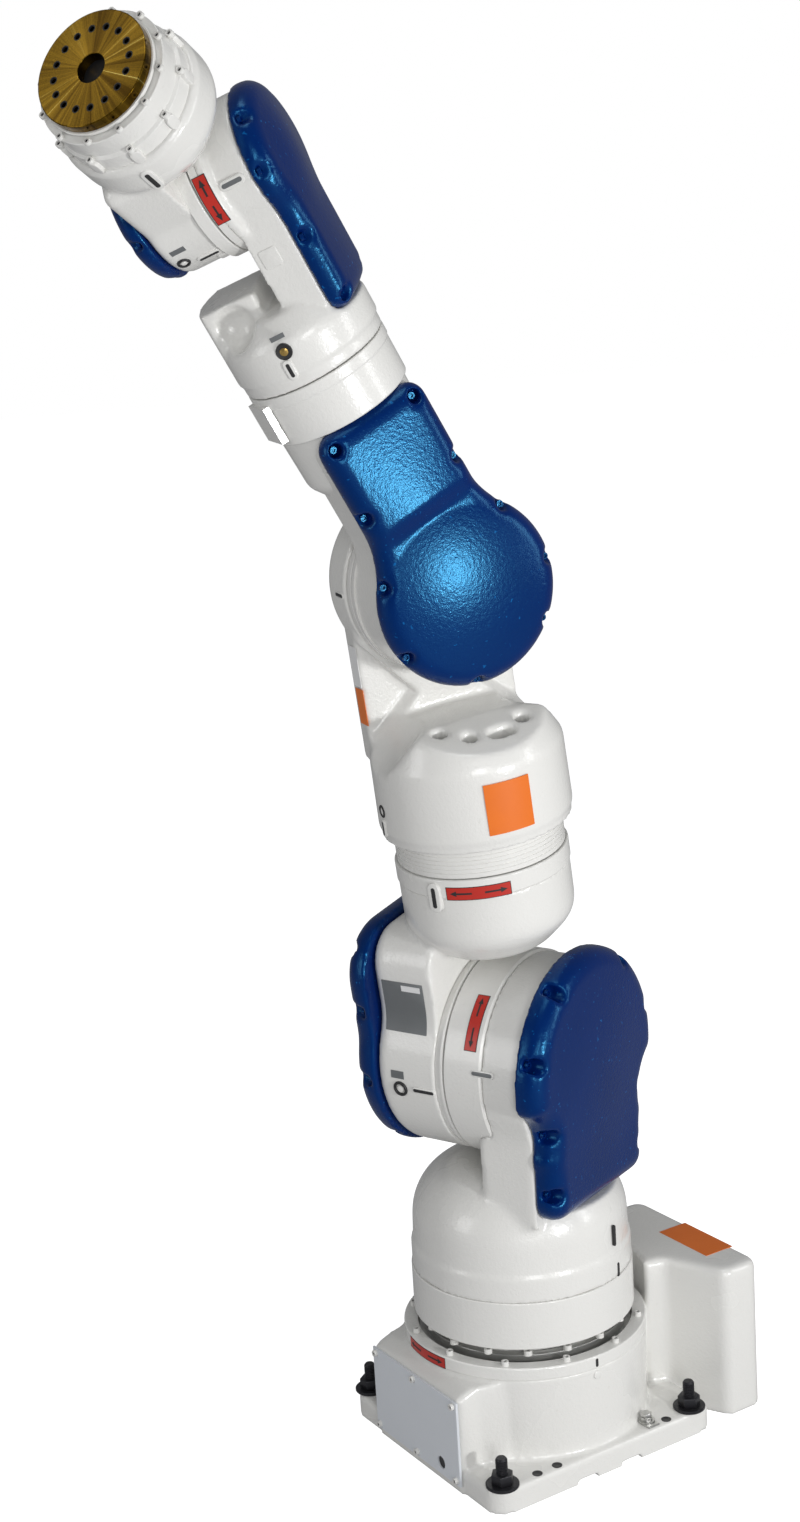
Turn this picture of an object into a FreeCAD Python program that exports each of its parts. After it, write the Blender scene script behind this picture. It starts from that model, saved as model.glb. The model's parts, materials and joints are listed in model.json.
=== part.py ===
"""Seven-axis serial robot arm, about 1.5 m tall when upright, built as named solids in millimetres.

Frame: origin on the swivel axis at the underside of the foot, +Z up, +X towards the front panel,
-X towards the tall connector box.  Each link is modelled in its own frame, with its length along +Z
and its pivot along Y, and is then placed by the chain of rest angles.
"""
import FreeCAD
import Part
import math
import os

V = FreeCAD.Vector
UP = V(0, 0, 1)

# ---------------------------------------------------------------- driving dimensions (mm, degrees)
L_SHOULDER = 410.0      # floor to shoulder axis
L_UPPER = 490.0         # shoulder axis to elbow axis
L_FORE = 420.0          # elbow axis to wrist axis
L_TOOL = 180.0          # wrist axis to tool flange face
REST = {"S": 22.4, "L": 9.1, "E": -31.9, "U": 21.5, "R": 53.9, "B": 39.9, "T": 0.0}
GAP = 1.0               # slit between two links

FOOT_T = 25.0           # foot plate
FOOT_X0, FOOT_X1 = -138.0, 136.0
FOOT_Y = 132.0
BOLT_X = 236.0          # anchor pattern, along X
BOLT_Y = 240.0          # anchor pattern, along Y
BOLT_CX = 2.0           # its centre on X
BOLT_R = 7.0
DRUM_TOP = 112.0        # top of the round base housing
RING_TOP = 124.0        # top of the raised bearing ring
RING_RO, RING_RI = 125.0, 110.5
FRONT_Y = 78.0          # half width of the front block
TOWER_TOP = 162.0       # top of the tall box
TOWER_X = -212.0        # its back face

SWIVEL_Z0, SWIVEL_Z1 = 138.0, 187.0
SWIVEL_R = 113.7
DOME_R = 108.0
DOME_TOP = 296.0
DOME_ROUND = 60.0

SHOULDER_R = 104.8      # shoulder flange
FLANGE_Y1 = 30.0        # where that flange meets the post
COVER_Y0, COVER_Y1 = 74.3, 103.0    # shoulder cover
UPPER_R = 84.2          # neck of the lower arm
UPPER_RIM = 222.9       # top of that neck
LOWER_R = 104.0         # round lower end of the lower arm
LOWER_SIDE = 84.0       # its flat side, which carries the name plate
PLATE_T = 0.8
COLLAR_R = 93.5         # elbow link's collar
ELBOW_R = 89.0
SHELF_TILT = 20.0       # slope of the shelf on that collar
CLEAR = 5.2             # room kept round a moving neck
FORE_NECK_R = 63.0
FORE_FLAT_Y = -32.0     # flat on the far side of the forearm's neck
FORE_R = 67.4           # forearm collar
FORE_RIM = 243.6
WRIST_R = 64.8
BELL_R = 65.5           # housing behind the tool flange
SEAT_GAP = 0.3          # step between a casting and the cover bolted to it
REACH_U = 130.0         # elbow pivot turns this far each way

FLANGE_R = 50.0
FLANGE_T = 9.0
FLANGE_PCD = 70.0
FLANGE_HOLES = 16
FLANGE_HOLE_R = 2.6
FLANGE_BORE_R = 12.5

os.makedirs("parts", exist_ok=True)


# ---------------------------------------------------------------- frames
def step(turn_z=0.0, lift=0.0, turn_y=0.0):
    """One link step: turn about Z, lift along Z, turn about Y."""
    first = FreeCAD.Placement(V(0, 0, 0), FreeCAD.Rotation(UP, turn_z))
    second = FreeCAD.Placement(V(0, 0, lift), FreeCAD.Rotation(V(0, 1, 0), turn_y))
    return first.multiply(second)


def chain():
    """Placement of each link's own frame in the part's frame."""
    p = {"base": FreeCAD.Placement()}
    p["swivel"] = step(turn_z=REST["S"])
    p["lower_arm"] = p["swivel"].multiply(step(lift=L_SHOULDER, turn_y=REST["L"]))
    p["elbow"] = p["lower_arm"].multiply(step(turn_z=REST["E"]))
    p["forearm"] = p["elbow"].multiply(step(lift=L_UPPER, turn_y=REST["U"]))
    p["wrist_roll"] = p["forearm"].multiply(step(turn_z=REST["R"]))
    p["wrist_bend"] = p["wrist_roll"].multiply(step(lift=L_FORE, turn_y=REST["B"]))
    p["tool"] = p["wrist_bend"].multiply(step(turn_z=REST["T"]))
    return p


FRAMES = chain()
NODES = {}


def keep(name, link, shape):
    """Store a solid under its node name, moved from its link's frame into the part's frame."""
    s = shape.removeSplitter()
    if s.ShapeType != "Solid":
        s = max(s.Solids, key=lambda part: part.Volume)
    s = s.copy()
    s.Placement = FRAMES[link].multiply(s.Placement)
    NODES[name] = s


# ---------------------------------------------------------------- solids
def cyl(r, z0, z1, x=0.0, y=0.0):
    return Part.makeCylinder(r, z1 - z0, V(x, y, z0))


def cyl_y(r, y0, y1, x=0.0, z=0.0):
    return Part.makeCylinder(r, y1 - y0, V(x, y0, z), V(0, 1, 0))


def box(x0, x1, y0, y1, z0, z1):
    return Part.makeBox(x1 - x0, y1 - y0, z1 - z0, V(x0, y0, z0))


def lathe(corners, axis="z"):
    """Turned solid from (radius, height, corner radius) corners, about Z or about Y."""
    if axis == "z":
        return Part.Face(rounded(corners, "xz")).revolve(V(0, 0, 0), V(0, 0, 1), 360)
    return Part.Face(rounded(corners, "xy")).revolve(V(0, 0, 0), V(0, 1, 0), 360)


def rounded(corners, plane, level=0.0):
    """Closed wire through (a, b, radius) corners with tangent arcs, in the XY or XZ plane."""
    def point(a, b):
        return V(a, b, level) if plane == "xy" else V(a, level, b)

    n = len(corners)
    pieces = []
    for i in range(n):
        a, b, r = corners[i]
        here = point(a, b)
        if r <= 0:
            pieces.append((here, None, here))
            continue
        back = (point(*corners[i - 1][:2]) - here).normalize()
        ahead = (point(*corners[(i + 1) % n][:2]) - here).normalize()
        half = back.getAngle(ahead) / 2
        run = r / math.tan(half)
        bisector = (back + ahead).normalize()
        middle = here + bisector * (r / math.sin(half) - r)
        pieces.append((here + back * run, middle, here + ahead * run))
    edges = []
    for i in range(n):
        start, middle, end = pieces[i]
        if middle is not None:
            edges.append(Part.Arc(start, middle, end).toShape())
        following = pieces[(i + 1) % n][0]
        if end.distanceToPoint(following) > 1e-6:
            edges.append(Part.LineSegment(end, following).toShape())
    return Part.Wire(edges)


def plate(corners, y0, y1):
    """Prism along Y from an outline of (x, z, radius) corners."""
    return Part.Face(rounded(corners, "xz", y0)).extrude(V(0, y1 - y0, 0))


def prism(corners, z0, z1):
    """Prism along Z from an outline of (x, y, radius) corners."""
    return Part.Face(rounded(corners, "xy", z0)).extrude(V(0, 0, z1 - z0))


def soften(shape, radius, pick):
    """Fillet the edges that pick accepts, with a smaller radius where the full one doesn't fit."""
    edges = [e for e in shape.Edges if pick(e)]
    for part in (1.0, 0.75, 0.5, 0.3):
        try:
            result = shape.makeFillet(radius * part, edges)
        except Exception:
            continue
        if result.isValid() and result.Volume > 0.5 * shape.Volume:
            return result
    print("no fillet", radius, len(edges))
    return shape


def at_y(level):
    """Pick edges that lie in the plane y = level."""
    return lambda e: abs(e.BoundBox.YMin - level) < 0.01 and abs(e.BoundBox.YMax - level) < 0.01


def at_z(level):
    """Pick edges that lie in the plane z = level."""
    return lambda e: abs(e.BoundBox.ZMin - level) < 0.01 and abs(e.BoundBox.ZMax - level) < 0.01


def along_y(x, z):
    """Pick straight edges parallel to Y at (x, z) or (-x, z)."""
    def test(e):
        b = e.BoundBox
        return b.XLength < 0.01 and b.ZLength < 0.01 and abs(abs(b.XMin) - x) < 0.5 and abs(b.ZMin - z) < 0.5
    return test


def along_y_beyond(x):
    """Pick straight edges parallel to Y that stand further than x from the middle."""
    def test(e):
        b = e.BoundBox
        return b.XLength < 0.01 and b.ZLength < 0.01 and b.YLength > 1 and abs(b.XMin) > x
    return test


def pear(r, waist, top, corner, y0, y1, cz=0.0, blend=40.0):
    """Disc of radius r about (0, cz) with a straight-sided head of half width waist reaching z = top."""
    side = 1.0 if top > cz else -1.0
    near, far = cz, top
    head = plate([(-waist, near, 0), (waist, near, 0), (waist, far, corner), (-waist, far, corner)], y0, y1)
    shape = cyl_y(r, y0, y1, z=cz).fuse(head).removeSplitter()
    meet = cz + side * math.sqrt(r * r - waist * waist)
    return soften(shape, blend, along_y(waist, meet))


def ring_of(count, radius, first=0.0):
    """(x, y) places of count features on a circle."""
    for i in range(count):
        a = math.radians(first + 360.0 * i / count)
        yield radius * math.cos(a), radius * math.sin(a)


def pockets(shape, places, radius, y0, y1):
    """Cut round screw pockets along Y at (x, z) places."""
    for x, z in places:
        shape = shape.cut(cyl_y(radius, y0, y1, x, z))
    return shape


# ---------------------------------------------------------------- base
def build_base_casting():
    foot = prism([(FOOT_X0, -FOOT_Y, 16), (FOOT_X1, -FOOT_Y, 20), (FOOT_X1, FOOT_Y, 20), (FOOT_X0, FOOT_Y, 16)],
                 0, FOOT_T)
    foot = soften(foot, 5, at_z(FOOT_T))
    drum = Part.makeCone(RING_RO - 3, RING_RO, DRUM_TOP)
    front = prism([(0, -FRONT_Y, 0), (FOOT_X1 + 2, -FRONT_Y, 7), (FOOT_X1 + 2, FRONT_Y, 7), (0, FRONT_Y, 0)],
                  0, DRUM_TOP - 4)
    slope = Part.Face(rounded([(150, 96, 0), (150, 120, 0), (100, 120, 0), (112, 112, 0)], "xz"))
    front = front.cut(slope.extrude(V(0, 300, 0)).translated(V(0, -150, 0)))
    front = soften(front, 5, lambda e: e.BoundBox.ZMin > 95 and e.BoundBox.YLength < 1 and e.BoundBox.XLength > 9)
    tower = prism(tower_outline(), 0, TOWER_TOP)
    tower = tower.cut(cyl(RING_RO + 3.5, DRUM_TOP, 200))
    tower = soften(tower, 7, lambda e: at_z(TOWER_TOP)(e) and e.BoundBox.XMin < -129)
    shape = drum.fuse([front, tower]).removeSplitter()
    for side in (-1, 1):
        shape = shape.fuse(front_web(side))
    shape = shape.fuse(foot).removeSplitter()
    shape = shape.cut(cyl(RING_RI - 10, 30, DRUM_TOP + 1))
    for sx in (-1, 1):
        for sy in (-1, 1):
            x, y = BOLT_CX + sx * BOLT_X / 2, sy * BOLT_Y / 2
            shape = shape.cut(cyl(BOLT_R, -1, FOOT_T + 1, x, y))
            shape = shape.cut(cyl(19, FOOT_T, FOOT_T + 60, x, y))
    for x0, x1 in ((-43, -17), (12, 37)):
        for y in (-FOOT_Y, FOOT_Y):
            shape = shape.cut(box(x0, x1, y - 8, y + 8, -1, 4))
    keep("base_casting", "base", shape)


def front_web(side):
    """Concave web that carries the flat front block's side wall round into the drum."""
    reach, start = 46.0, FRONT_Y - 1
    meet_x = math.sqrt(RING_RO ** 2 - start ** 2)
    a = math.radians(62.0)
    far = V((RING_RO - 3) * math.cos(a), side * (RING_RO - 3) * math.sin(a), 0)
    near = V(meet_x + reach * 0.45, side * start, 0)
    dip = V(meet_x - 6, side * (start + 9), 0)
    curve = Part.Arc(near, dip, far).toShape()
    root = V(20, side * 40, 0)
    wire = Part.Wire([curve, Part.LineSegment(far, root).toShape(), Part.LineSegment(root, near).toShape()])
    return Part.Face(wire).extrude(V(0, 0, DRUM_TOP - 4))


def tower_outline():
    """Plan of the tall box: flat back and near side, a slanted face towards the front."""
    return [(TOWER_X, -70, 14), (-110, -70, 10), (-104, 0, 0), (-118, 58, 0), (-137, 62, 12), (-166, 126, 16),
            (TOWER_X, 126, 14)]


def build_base_rings():
    outer = lathe([(RING_RI, DRUM_TOP, 0), (RING_RO, DRUM_TOP, 0), (RING_RO, RING_TOP, 1.5), (RING_RI, RING_TOP, 1)])
    keep("bearing_ring", "base", outer)
    inner = lathe([(96, DRUM_TOP, 0), (RING_RI - 1, DRUM_TOP, 0), (RING_RI - 1, 119, 0.6), (104, 119, 0),
                   (104, 128, 0.6), (96, 128, 0.6)])
    keep("bearing_inner_ring", "base", inner)
    seat = lathe([(60, 30.5, 0), (RING_RI - 10.5, 30.5, 0), (RING_RI - 10.5, DRUM_TOP - 1, 0), (60, DRUM_TOP - 1, 0)])
    keep("bearing_seat", "base", seat)


def build_base_covers():
    x0 = FOOT_X1 + 2
    panel = prism([(x0, -FRONT_Y + 2, 0), (x0 + 2.5, -FRONT_Y + 2, 0.8), (x0 + 2.5, FRONT_Y - 2, 0.8),
                   (x0, FRONT_Y - 2, 0)], 9, 99)
    panel = panel.cut(cyl_x_hole(x0, 44, 22, 6.5))
    keep("front_panel", "base", panel)
    back = box(TOWER_X - 3, TOWER_X, -52, 108, 30, 146)
    back = soften(back, 6, lambda e: e.BoundBox.YLength < 0.01 and e.BoundBox.ZLength < 0.01)
    keep("connector_panel", "base", back)
    socket = Part.makeCylinder(26, 16, V(TOWER_X - 3, 0, 88), V(-1, 0, 0))
    socket = socket.cut(Part.makeCylinder(21, 12, V(TOWER_X - 7.5, 0, 88), V(-1, 0, 0)))
    keep("power_socket", "base", socket)
    signal = Part.makeCylinder(20, 16, V(TOWER_X - 3, 62, 88), V(-1, 0, 0))
    signal = signal.cut(Part.makeCylinder(16, 12, V(TOWER_X - 7.5, 62, 88), V(-1, 0, 0)))
    keep("signal_socket", "base", signal)
    bracket = box(-70, -56, FOOT_Y - 22, FOOT_Y - 4, FOOT_T, FOOT_T + 2)
    bracket = bracket.fuse(cyl(6, FOOT_T, FOOT_T + 7, -63, FOOT_Y - 16))
    keep("ground_terminal", "base", bracket)


def cyl_x_hole(x, y, z, r):
    return Part.makeCylinder(r, 30, V(x - 10, y, z), V(1, 0, 0))


# ---------------------------------------------------------------- swivel
def build_swivel():
    lower = lathe([(0, DRUM_TOP + 0.5, 0), (92, DRUM_TOP + 0.5, 0), (92, SWIVEL_Z0, 0), (SWIVEL_R, SWIVEL_Z0, 1.5),
                   (SWIVEL_R, SWIVEL_Z1, 1), (0, SWIVEL_Z1, 0)])
    keep("swivel_lower_ring", "swivel", lower)
    dome = lathe([(0, SWIVEL_Z1, 0), (SWIVEL_R - 1, SWIVEL_Z1, 0), (SWIVEL_R - 1, 211, 1), (SWIVEL_R - 3, 215, 1),
                  (DOME_R, DOME_TOP, DOME_ROUND), (0, DOME_TOP + 3, 0)])
    seat = shoulder_cover_outline(COVER_Y0 - SEAT_GAP, COVER_Y0 + 80)
    dome = dome.cut(seat)
    flange = shoulder_flange()
    post = pear(SHOULDER_R - 2, 87, 250, 2, 10, COVER_Y0 - SEAT_GAP, cz=L_SHOULDER, blend=60)
    post = soften(post, 9, at_y(10)).cut(cyl(2 * DOME_R, 0, 262)).cut(dome)
    keep("swivel_housing", "swivel", dome)
    keep("shoulder_post", "swivel", post.cut(flange))
    keep("shoulder_flange", "swivel", flange.cut(dome))


def shoulder_flange():
    disc = lathe([(0, -13.8 + GAP, 0), (SHOULDER_R, -13.8 + GAP, 1.5), (SHOULDER_R, FLANGE_Y1 - 2, 0),
                  (SHOULDER_R - 1.5, FLANGE_Y1, 0), (0, FLANGE_Y1, 0)], "y")
    return disc.translated(V(0, 0, L_SHOULDER))


def shoulder_cover_outline(y0, y1):
    """Outline of the shoulder cover: a disc that is pinched in above its straight lower part."""
    shape = pear(115, 87, 270, 20, y0, y1, cz=L_SHOULDER, blend=60)
    for side in (-1, 1):
        shape = shape.cut(cyl_y(40, y0 - 1, y1 + 1, side * 127, 352))
    return soften(shape, 14, along_y_beyond(104))


def build_shoulder_cover():
    y0, y1 = COVER_Y0, COVER_Y1
    cover = soften(shoulder_cover_outline(y0, y1), 18, at_y(y1))
    places = [(sx * x, z) for sx in (-1, 1) for x, z in ((62, 499), (104, 440), (84, 362), (80, 300))]
    cover = pockets(cover, places, 7.5, y0 + 7, y1 + 5)
    keep("shoulder_cover", "swivel", cover)


# ---------------------------------------------------------------- lower arm
def build_lower_arm():
    seam = lathe([(0, -24, 0), (SHOULDER_R - 3, -24, 0), (SHOULDER_R - 0.5, -17, 0), (SHOULDER_R - 0.5, -14.3, 1),
                  (0, -14.3, 0)], "y")
    half = pear(LOWER_R, LOWER_SIDE, 152, 40, -94, -24, blend=70)
    half = soften(half, 10, at_y(-94))
    neck = lathe([(0, 121, 0), (56, 124, 22), (UPPER_R, 152, 28), (UPPER_R, 204, 0), (0, 204, 0)])
    shape = half.fuse(neck).cut(cyl_y(SHOULDER_R + 4, -24, 130)).removeSplitter()
    keep("lower_arm_casting", "lower_arm", shape.cut(seam))
    keep("lower_arm_seam_ring", "lower_arm", seam)
    rim = lathe([(0, 204, 0), (UPPER_R + 1.2, 204, 1), (UPPER_R + 1.2, UPPER_RIM, 1.5), (0, UPPER_RIM, 0)])
    keep("lower_arm_rim", "lower_arm", rim)
    skin = pear(LOWER_R + PLATE_T, LOWER_SIDE + PLATE_T, 152, 40, -83, -35, blend=70)
    name_plate = skin.common(box(70, 130, -90, 0, 46, 110)).cut(shape)
    keep("lower_arm_name_plate", "lower_arm", name_plate)


def build_lower_arm_cover():
    y0, y1 = -94.3, -122.0
    cover = pear(107, 99, 155, 58, y1, y0, blend=50)
    cover = soften(cover, 18, at_y(y1))
    places = [(sx * x, z) for sx in (-1, 1) for x, z in ((76, 130), (94, 72), (101, 0), (72, -71))]
    places.append((0, -101))
    keep("lower_arm_cover", "lower_arm", pockets(cover, places, 7.5, y1 - 5, y0 - 7))


# ---------------------------------------------------------------- elbow
def build_elbow():
    groove = lathe([(0, UPPER_RIM + GAP, 0), (UPPER_R - 1.5, UPPER_RIM + GAP, 0), (UPPER_R - 1.5, 252, 0), (0, 252, 0)])
    keep("elbow_groove_ring", "elbow", groove)
    collar = lathe([(0, 252, 0), (COLLAR_R - 1, 252, 1), (COLLAR_R - 1, 257, 0), (COLLAR_R + 1, 263, 3),
                    (COLLAR_R, 330, 16), (78, 362, 10), (0, 366, 0)])
    collar = collar.cut(shelf_facet())
    for x, y in ((42, 38), (19, 54), (-40, 47)):
        collar = collar.cut(cyl(7.5, 338, 400, x, y))
    slot = prism([(-26, 51, 7.9), (2, 51, 7.9), (2, 67, 7.9), (-26, 67, 7.9)], 336, 400)
    collar = collar.cut(slot).cut(forearm_sweep())
    keep("elbow_collar", "elbow", collar)
    drum = lathe([(0, -90, 0), (74, -90, 10), (ELBOW_R, -62, 14), (ELBOW_R, -24, 0), (0, -24, 0)], "y")
    drum = drum.translated(V(0, 0, L_UPPER))
    post = prism([(-74, -84, 22), (76, -84, 22), (84, -24, 10), (-80, -24, 10)], 318, L_UPPER)
    shape = post.fuse(drum).removeSplitter()
    shape = shape.cut(forearm_sweep()).cut(collar).cut(cyl_y(ELBOW_R + 1, -24, 40, z=L_UPPER))
    keep("elbow_casting", "elbow", shape)
    flange = lathe([(0, -24, 0), (ELBOW_R - 3, -24, 0), (ELBOW_R - 1, -18, 0), (ELBOW_R - 1, -11, 1), (0, -11, 0)], "y")
    keep("elbow_flange", "elbow", flange.translated(V(0, 0, L_UPPER)))
    cap = lathe([(0, -90.3, 0), (68, -90.3, 0), (68, -102, 8), (0, -105, 0)], "y")
    keep("elbow_cover", "elbow", cap.translated(V(0, 0, L_UPPER)))


def shelf_facet():
    """Wedge that cuts a sloping shelf across the front of the elbow link's collar."""
    wedge = Part.makeBox(260, 160, 80, V(-130, 0, 0))
    wedge.Placement = FreeCAD.Placement(V(0, 22, 367), FreeCAD.Rotation(V(1, 0, 0), -SHELF_TILT))
    return wedge


def forearm_sweep():
    """Room that the folded forearm needs at both ends of the elbow pivot's range."""
    room = None
    for side in (-1, 1):
        neck = cyl(FORE_NECK_R + CLEAR, 92, 260)
        front = box(-FORE_NECK_R - CLEAR, 200, -FORE_NECK_R - CLEAR, 60, 92, 260)
        part = neck.fuse(front.cut(box(-200, 0, -100, 100, 0, 300)))
        part = part.common(box(-200, 220, FORE_FLAT_Y - CLEAR, 100, 0, 300))
        if side > 0:
            part = part.mirror(V(0, 0, 0), V(1, 0, 0))
        part.Placement = FreeCAD.Placement(V(0, 0, L_UPPER), FreeCAD.Rotation(V(0, 1, 0), side * REACH_U))
        room = part if room is None else room.fuse(part)
    return room.cut(cyl_y(ELBOW_R + 2, -130, 130, z=L_UPPER))


# ---------------------------------------------------------------- forearm
def build_forearm():
    ring = lathe([(0, -11 + GAP, 0), (ELBOW_R - 1, -11 + GAP, 1), (ELBOW_R - 1, -3, 0), (0, -3, 0)], "y")
    keep("forearm_seam_ring", "forearm", ring)
    half = pear(86, 54, 190, 14, -3, 46, blend=60)
    neck = lathe([(0, 112, 0), (40, 114, 16), (62, 146, 16), (FORE_NECK_R, 196, 0), (0, 196, 0)])
    neck = neck.cut(box(-90, 90, -90, FORE_FLAT_Y, 100, 190))
    shape = half.fuse(neck).cut(cyl_y(ELBOW_R + 6, -130, -3)).removeSplitter()
    keep("forearm_casting", "forearm", shape.cut(forearm_cover_outline(45.7, 120)))
    collar = lathe([(0, 196, 0), (FORE_R - 1, 196, 2), (FORE_R - 1, 232, 0), (FORE_R, 234, 0), (FORE_R, FORE_RIM, 1.2),
                    (0, FORE_RIM, 0)])
    side = prism([(0, -15, 0), (FORE_R + 3, -15, 0), (FORE_R + 3, 21, 0), (0, 21, 0)], 202, 238)
    side = side.cut(cyl(FORE_R + 0.0, 190, 250))
    keep("forearm_collar", "forearm", collar)
    keep("forearm_side_plate", "forearm", side)


def forearm_cover_outline(y0, y1):
    return pear(88, 56, 196, 17, y0, y1, blend=90)


def build_forearm_cover():
    y0, y1 = 46.0, 68.0
    cover = soften(forearm_cover_outline(y0, y1), 15, at_y(y1))
    places = [(-43, 183), (43, 183), (-51, 116), (51, 116), (-68, 52), (68, 52), (-82, -16), (82, -16), (-52, -66),
              (35, -76)]
    keep("forearm_cover", "forearm", pockets(cover, places, 6.5, y0 + 6, y1 + 8))


# ---------------------------------------------------------------- forearm roll
def build_wrist_roll():
    z0 = FORE_RIM + GAP
    collar = lathe([(0, z0, 0), (FORE_R, z0, 1.2), (FORE_R, z0 + 10, 0), (FORE_R + 2, z0 + 13, 2),
                    (FORE_R + 2, 286, 16), (52, 306, 8), (0, 308, 0)])
    lug = cyl(FORE_R + 2, 284, 328).common(box(-34, 34, -80, -8, 280, 340))
    scoop = Part.makeSphere(21, V(44, -36, 309))
    collar = collar.fuse(lug).removeSplitter().cut(scoop)
    collar = collar.cut(wrist_roll_cover_outline(51.0, 100))
    keep("wrist_roll_collar", "wrist_roll", collar)
    half = pear(57, 44, 280, 4, 12, 51, cz=L_FORE, blend=40)
    half = half.fuse(cyl_y(WRIST_R, 12, 20, z=L_FORE)).cut(collar)
    keep("wrist_roll_casting", "wrist_roll", half)
    flange = lathe([(0, 3.8 + GAP, 0), (WRIST_R, 3.8 + GAP, 1), (WRIST_R, 12, 0), (0, 12, 0)], "y")
    keep("wrist_roll_flange", "wrist_roll", flange.translated(V(0, 0, L_FORE)))


def wrist_roll_cover_outline(y0, y1):
    return pear(60, 46, L_FORE - 137, 16, y0, y1, cz=L_FORE, blend=50)


def build_wrist_roll_cover():
    y0, y1 = 51.3, 72.0
    cover = soften(wrist_roll_cover_outline(y0, y1), 14, at_y(y1))
    places = [(sx * x, L_FORE + z) for sx in (-1, 1) for x, z in ((40, 42), (60, 0), (45, -66), (36, -126))]
    keep("wrist_roll_cover", "wrist_roll", pockets(cover, places, 6, y0 + 6, y1 + 5))


# ---------------------------------------------------------------- wrist bend
def build_wrist_bend():
    ring = lathe([(0, -8, 0), (WRIST_R, -8, 0), (WRIST_R, 3.3, 1), (0, 3.3, 0)], "y")
    keep("wrist_seam_ring", "wrist_bend", ring)
    half = pear(60, 52, 96, 10, -58, -8, blend=20)
    half = soften(half, 9, at_y(-58))
    bell = lathe([(0, 72, 0), (44, 74, 14), (BELL_R, 100, 22), (BELL_R, 128, 2), (62, 132.5, 1), (0, 132.5, 0)])
    bell = bell.cut(cyl_y(WRIST_R + 5, -8, 90))
    keep("wrist_bend_casting", "wrist_bend", half.cut(bell))
    keep("tool_housing", "wrist_bend", bell)
    ring = lathe([(30, 132.5, 0), (60, 132.5, 0), (60, 146, 1), (57.5, 148, 0), (57.5, 166.5, 1), (30, 166.5, 0)])
    keep("tool_bearing_ring", "wrist_bend", ring)
    cover = soften(cyl_y(60, -76, -58.3), 12, at_y(-76))
    keep("wrist_bend_cover", "wrist_bend", pockets(cover, list(ring_of(6, 55, 30)), 5.5, -80, -63))


# ---------------------------------------------------------------- tool flange
def build_tool():
    z0 = 166.5 + GAP
    back = L_TOOL - FLANGE_T
    collar = lathe([(FLANGE_BORE_R + 8, z0, 0), (51.5, z0, 1), (51.5, back, 0.5), (FLANGE_BORE_R + 8, back, 0)])
    keep("tool_collar", "tool", collar)
    disc = lathe([(FLANGE_BORE_R, back, 0), (FLANGE_R, back, 0.8), (FLANGE_R, L_TOOL, 0.8),
                  (FLANGE_BORE_R, L_TOOL, 0.5)])
    for x, y in ring_of(FLANGE_HOLES, FLANGE_PCD / 2, 11.25):
        disc = disc.cut(cyl(FLANGE_HOLE_R, back - 1, L_TOOL + 1, x, y))
    keep("tool_flange", "tool", disc)


for build in (build_base_casting, build_base_rings, build_base_covers, build_swivel, build_shoulder_cover,
              build_lower_arm, build_lower_arm_cover, build_elbow, build_forearm, build_forearm_cover,
              build_wrist_roll, build_wrist_roll_cover, build_wrist_bend, build_tool):
    build()

for name, shape in NODES.items():
    if not shape.isValid() or len(shape.Solids) != 1:
        print("BAD", name, shape.isValid(), len(shape.Solids))
    shape.exportStep("parts/%s.step" % name)
    print("%-24s %9.1f cm3" % (name, shape.Volume / 1000.0))
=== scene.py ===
"""Looks of the seven-axis robot arm: enamels, castings, screws, plugs, labels, anchors, light and camera.

Each link has a frame of its own: origin on a joint, Y along the pivot and Z along the link, read from
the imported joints.  A piece is modelled in its link's frame, in millimetres, and its mesh is then moved
into the part's frame, in metres, so that every object stays at the origin.
"""

import json
import math

import bmesh
import bpy
from mathutils import Matrix, Vector


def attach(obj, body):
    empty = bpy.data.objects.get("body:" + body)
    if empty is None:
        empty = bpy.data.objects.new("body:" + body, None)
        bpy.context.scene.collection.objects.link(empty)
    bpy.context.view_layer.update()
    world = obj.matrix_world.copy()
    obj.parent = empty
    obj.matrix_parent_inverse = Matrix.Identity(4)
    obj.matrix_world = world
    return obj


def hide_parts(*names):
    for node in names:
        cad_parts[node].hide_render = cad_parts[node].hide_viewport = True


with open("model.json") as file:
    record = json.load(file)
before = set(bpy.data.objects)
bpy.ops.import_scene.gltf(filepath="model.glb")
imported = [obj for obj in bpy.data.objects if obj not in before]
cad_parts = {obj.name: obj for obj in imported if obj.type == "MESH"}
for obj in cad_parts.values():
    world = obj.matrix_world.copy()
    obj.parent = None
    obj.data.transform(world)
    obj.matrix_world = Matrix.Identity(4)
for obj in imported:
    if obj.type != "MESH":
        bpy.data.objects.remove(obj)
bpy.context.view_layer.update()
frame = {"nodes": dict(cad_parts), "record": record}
JOINTS = {j["name"]: j for j in frame["record"]["behaviour"]["joints"]}

MM = 0.001

# Millimetres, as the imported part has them.
SHOULDER_UP = 410.0        # floor to shoulder pivot
ELBOW_UP = 490.0           # shoulder pivot to elbow pivot
WRIST_UP = 420.0           # elbow pivot to wrist pivot
FLANGE_UP = 180.0          # wrist pivot to the flange's face
FOOT_TOP = 25.0
PANEL_FACE = 140.5         # front panel's outer face
REAR_FACE = -215.0         # connector panel's outer face
RING_WALL = 125.0          # bearing ring
SWIVEL_WALL = 111.0        # swivel's round side
LOWER_DRUM = 104.0         # lower arm's drum round the shoulder pivot
RIM_WALL = 85.4            # rim at the top of the lower arm
COLLAR_WALL = 94.4         # elbow collar
WRIST_COLLAR_WALL = 69.2
BEND_DRUM = 60.0           # drum round the wrist pivot
LABEL_SUNK = 0.3           # how far a label reaches into its wall

WELD = 0.00001             # metres; packed points closer than this are one
SKIN_SHARP = 80.0          # degrees; only steeper edges of a soft skin stay sharp

BOTH_SIDES = (-1, 1)


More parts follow.
